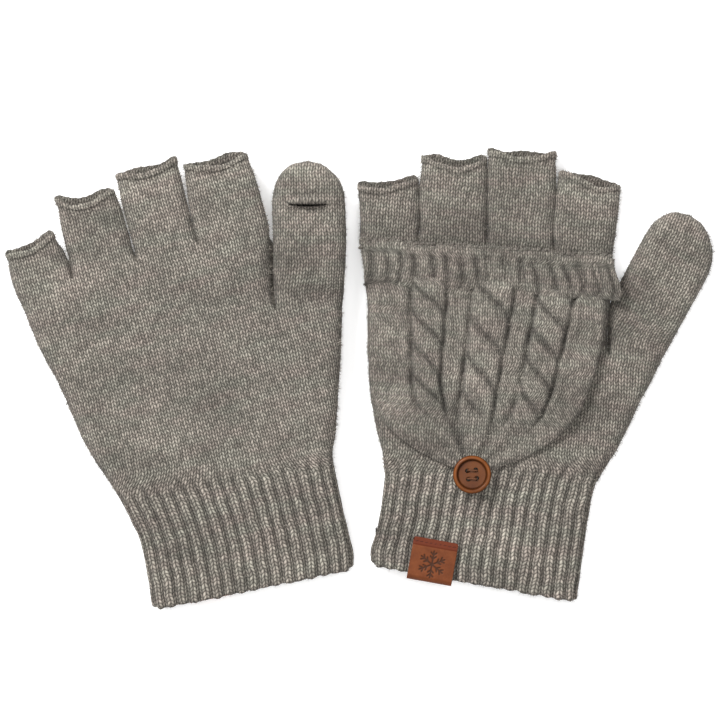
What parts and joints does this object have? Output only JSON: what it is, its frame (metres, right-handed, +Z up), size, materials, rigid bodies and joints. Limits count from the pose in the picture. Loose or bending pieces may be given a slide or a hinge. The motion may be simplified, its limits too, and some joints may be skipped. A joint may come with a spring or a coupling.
{
  "type": "convertible flip-top mittens",
  "caption": "Pair of knit half-finger gloves whose cabled mitten cap folds back over the hand and buttons at the cuff, with a slit in each closed thumb.",
  "frame": {"origin": "centre of the bounding box of the two mittens as they lie side by side, on the surface they lie on", "axes": "+Z up from the surface, +Y towards the fingertips, +X towards the thumbs, from the right mitten to the left one"},
  "size_m": [0.277, 0.18, 0.0147],
  "materials": {
    "plain_knit": "brushed marled stockinette knit",
    "rib_knit": "brushed marled rib knit",
    "cable_knit": "brushed marled cable knit",
    "elastic_loop": "covered elastic cord",
    "button_wood": "waxed turned wood",
    "label_leather": "matt pressed leather",
    "sewing_thread": "twisted sewing thread"
  },
  "bodies": {
    "left_hand": {"left_cuff": "rib_knit", "left_cuff_hem": "rib_knit", "left_lower_palm": "plain_knit", "left_upper_palm": "plain_knit", "left_pinky_tube": "plain_knit", "left_ring_tube": "plain_knit", "left_middle_tube": "plain_knit", "left_index_tube": "plain_knit", "left_finger_rims": "rib_knit", "left_thumb_tube": "plain_knit", "left_slit_lower_lip": "rib_knit", "left_knuckle_stitches": "sewing_thread", "left_label": "label_leather", "left_label_stitches": "sewing_thread"},
    "left_cap": {"left_cap_back": "plain_knit"},
    "left_cap_palm": {"left_cap_front": "cable_knit", "left_cap_band": "rib_knit", "left_cap_band_edge": "rib_knit", "left_cap_cables": "cable_knit", "left_button_loop": "elastic_loop"},
    "left_thumb_top": {"left_thumb_hood": "plain_knit", "left_slit_upper_lip": "rib_knit"},
    "left_fastener": {"left_button": "button_wood", "left_button_thread": "sewing_thread"},
    "right_hand": {"right_cuff": "rib_knit", "right_cuff_hem": "rib_knit", "right_lower_palm": "plain_knit", "right_upper_palm": "plain_knit", "right_pinky_tube": "plain_knit", "right_ring_tube": "plain_knit", "right_middle_tube": "plain_knit", "right_index_tube": "plain_knit", "right_finger_rims": "rib_knit", "right_thumb_tube": "plain_knit", "right_slit_lower_lip": "rib_knit", "right_knuckle_stitches": "sewing_thread", "right_label": "label_leather", "right_label_stitches": "sewing_thread"},
    "right_cap": {"right_cap_back": "plain_knit"},
    "right_cap_palm": {"right_cap_front": "cable_knit", "right_cap_band": "rib_knit", "right_cap_band_edge": "rib_knit", "right_cap_cables": "cable_knit", "right_button_loop": "elastic_loop"},
    "right_thumb_top": {"right_thumb_hood": "plain_knit", "right_slit_upper_lip": "rib_knit"},
    "right_fastener": {"right_button": "button_wood", "right_button_thread": "sewing_thread"}
  },
  "joints": [
    {"name": "left_cap_flip", "type": "hinge", "parent": "left_hand", "child": "left_cap", "pos_m": [0.0505, 0.0525, 0.0095], "axis": [-0.9976, 0.0698, 0], "range_deg": [0, 180], "deforming": ["left_cap_front", "left_cap_band", "left_cap_band_edge", "left_cap_cables", "left_button_loop"]},
    {"name": "left_cap_open", "type": "slide", "parent": "left_cap", "child": "left_cap_palm", "axis": [0, 0, 1], "range_m": [0, 0.0083]},
    {"name": "left_thumb_flip", "type": "hinge", "parent": "left_hand", "child": "left_thumb_top", "pos_m": [0.12335, 0.0472, 0.0091], "axis": [0.9161, -0.401, 0], "range_deg": [0, 120], "stiffness_Nm_per_rad": 0.004},
    {"name": "left_button_swivel", "type": "hinge", "parent": "left_hand", "child": "left_fastener", "pos_m": [0.04422, -0.03728, 0.0117], "axis": [0, 0, 1], "range_deg": [-45, 45], "stiffness_Nm_per_rad": 0.0004},
    {"name": "right_cap_flip", "type": "hinge", "parent": "right_hand", "child": "right_cap", "pos_m": [-0.0849, 0.047, 0.0052], "axis": [0.9593, 0.2823, 0], "range_deg": [0, 180], "deforming": ["right_cap_front", "right_cap_band", "right_cap_band_edge", "right_cap_cables", "right_button_loop"]},
    {"name": "right_cap_open", "type": "slide", "parent": "right_cap", "child": "right_cap_palm", "axis": [0, 0, -1], "range_m": [0, 0.0083]},
    {"name": "right_thumb_flip", "type": "hinge", "parent": "right_hand", "child": "right_thumb_top", "pos_m": [-0.0198, 0.0677, 0.0056], "axis": [-1, 0, 0], "range_deg": [0, 120], "stiffness_Nm_per_rad": 0.004},
    {"name": "right_button_swivel", "type": "hinge", "parent": "right_hand", "child": "right_fastener", "pos_m": [-0.05949, -0.03934, 0.003], "axis": [0, 0, 1], "range_deg": [-45, 45], "stiffness_Nm_per_rad": 0.0004},
    {"name": "right_mitten_lift", "type": "slide", "parent": "left_hand", "child": "right_hand", "axis": [0, 0, 1], "range_m": [0, 0.12]}
  ],
  "couplings": [
    {"joint": "left_cap_open", "follows": "left_cap_flip", "m_per_rad": 0.00261},
    {"joint": "right_cap_open", "follows": "right_cap_flip", "m_per_rad": 0.00261}
  ]
}
